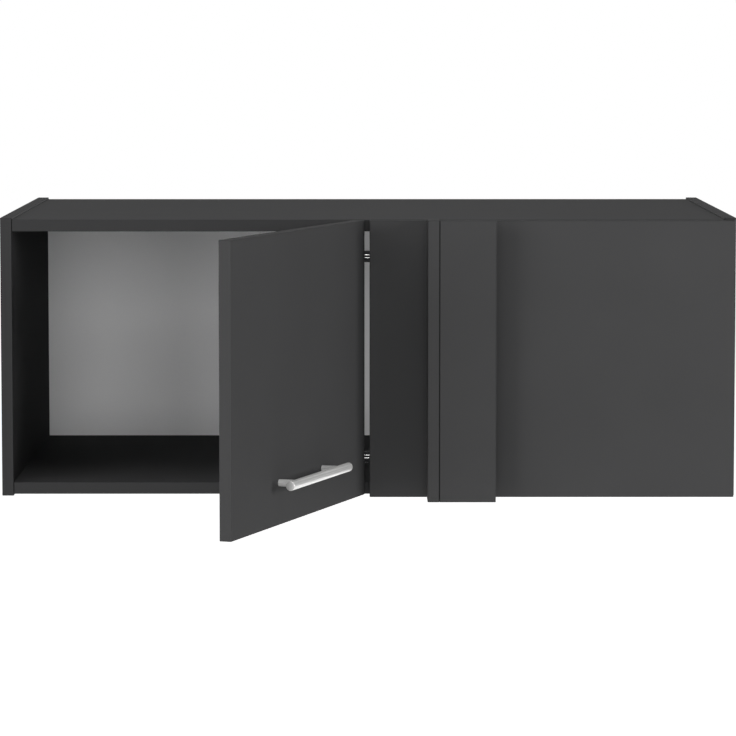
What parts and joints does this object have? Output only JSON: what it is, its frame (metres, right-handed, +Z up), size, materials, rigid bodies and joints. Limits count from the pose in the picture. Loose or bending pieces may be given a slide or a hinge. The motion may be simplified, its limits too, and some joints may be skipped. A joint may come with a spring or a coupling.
{
  "type": "corner wall cabinet",
  "caption": "Wall-hung blind corner kitchen cabinet: open carcase, hinged door with bar handle over one half, fixed front over the other, L-shaped corner filler.",
  "frame": {"origin": "on the wall plane, at the centre of the four wall fixing holes: middle of the cabinet's width, 318 mm above the underside of the side panels", "axes": "+X to the right along the wall as seen from the room, +Y into the wall, +Z up"},
  "size_m": [1, 1.0735, 0.38],
  "materials": {
    "front_board": "matt anthracite melamine with banded edges",
    "carcase_board": "matt anthracite melamine with banded front edges",
    "back_board": "thin fibreboard, painted pale grey inside",
    "satin_steel": "satin",
    "dark_nickel": "dark nickel plating",
    "zinc_steel": "zinc plated",
    "cap_plastic": "matt",
    "bumper_rubber": "soft clear grey",
    "dowel_wood": "plain beech"
  },
  "bodies": {
    "cabinet": {"access_caps": "cap_plastic", "adjuster_screws": "zinc_steel", "arm_pins": "dark_nickel", "arm_screws": "dark_nickel", "back_panel": "back_board", "bottom_inner_bracket": "zinc_steel", "bottom_outer_bracket": "zinc_steel", "bottom_panel": "carcase_board", "bracket_screws": "zinc_steel", "cam_bolts": "zinc_steel", "cam_locks": "zinc_steel", "dowels": "dowel_wood", "filler_bracket_screws": "zinc_steel", "filler_fixing_strip": "front_board", "filler_lower_bracket": "zinc_steel", "filler_return_strip": "front_board", "filler_screws": "zinc_steel", "filler_upper_bracket": "zinc_steel", "fixed_front_panel": "front_board", "hanger_body_left": "zinc_steel", "hanger_body_right": "zinc_steel", "hanger_hook_left": "zinc_steel", "hanger_hook_right": "zinc_steel", "hanger_screws": "zinc_steel", "lower_closing_spring": "dark_nickel", "lower_hinge_arm": "dark_nickel", "lower_hinge_plate": "dark_nickel", "plate_screws": "dark_nickel", "side_lower_bracket": "zinc_steel", "side_panel_left": "carcase_board", "side_panel_right": "carcase_board", "side_upper_bracket": "zinc_steel", "top_inner_bracket": "zinc_steel", "top_outer_bracket": "zinc_steel", "top_panel": "carcase_board", "upper_closing_spring": "dark_nickel", "upper_hinge_arm": "dark_nickel", "upper_hinge_plate": "dark_nickel", "wall_plate_left": "zinc_steel", "wall_plate_right": "zinc_steel"},
    "short_links": {"upper_short_link": "dark_nickel", "lower_short_link": "dark_nickel"},
    "door": {"door_panel": "front_board", "door_bumpers": "bumper_rubber", "handle_bar": "satin_steel", "handle_post_near": "satin_steel", "handle_post_far": "satin_steel", "handle_screws": "zinc_steel", "upper_hinge_cup": "dark_nickel", "lower_hinge_cup": "dark_nickel", "cup_screws": "dark_nickel", "cup_pins": "dark_nickel", "cup_stub_pins": "dark_nickel"},
    "long_links": {"upper_long_link": "dark_nickel", "lower_long_link": "dark_nickel"}
  },
  "joints": [
    {"name": "short_link_turn", "type": "hinge", "parent": "cabinet", "child": "short_links", "pos_m": [-0.0295, -0.5894, 0], "axis": [0, 0, 1], "range_deg": [-11, 31.6]},
    {"name": "door_swing", "type": "hinge", "parent": "short_links", "child": "door", "pos_m": [-0.02143, -0.61045, 0], "axis": [0, 0, 1], "range_deg": [-102.08, 35.48]},
    {"name": "long_link_turn", "type": "hinge", "parent": "cabinet", "child": "long_links", "pos_m": [-0.0457, -0.5961, 0], "axis": [0, 0, 1], "range_deg": [-8.2, 23.4]}
  ],
  "couplings": [
    {"joint": "short_link_turn", "follows": "door_swing", "ratio": -0.30939},
    {"joint": "long_link_turn", "follows": "door_swing", "ratio": -0.22859}
  ]
}
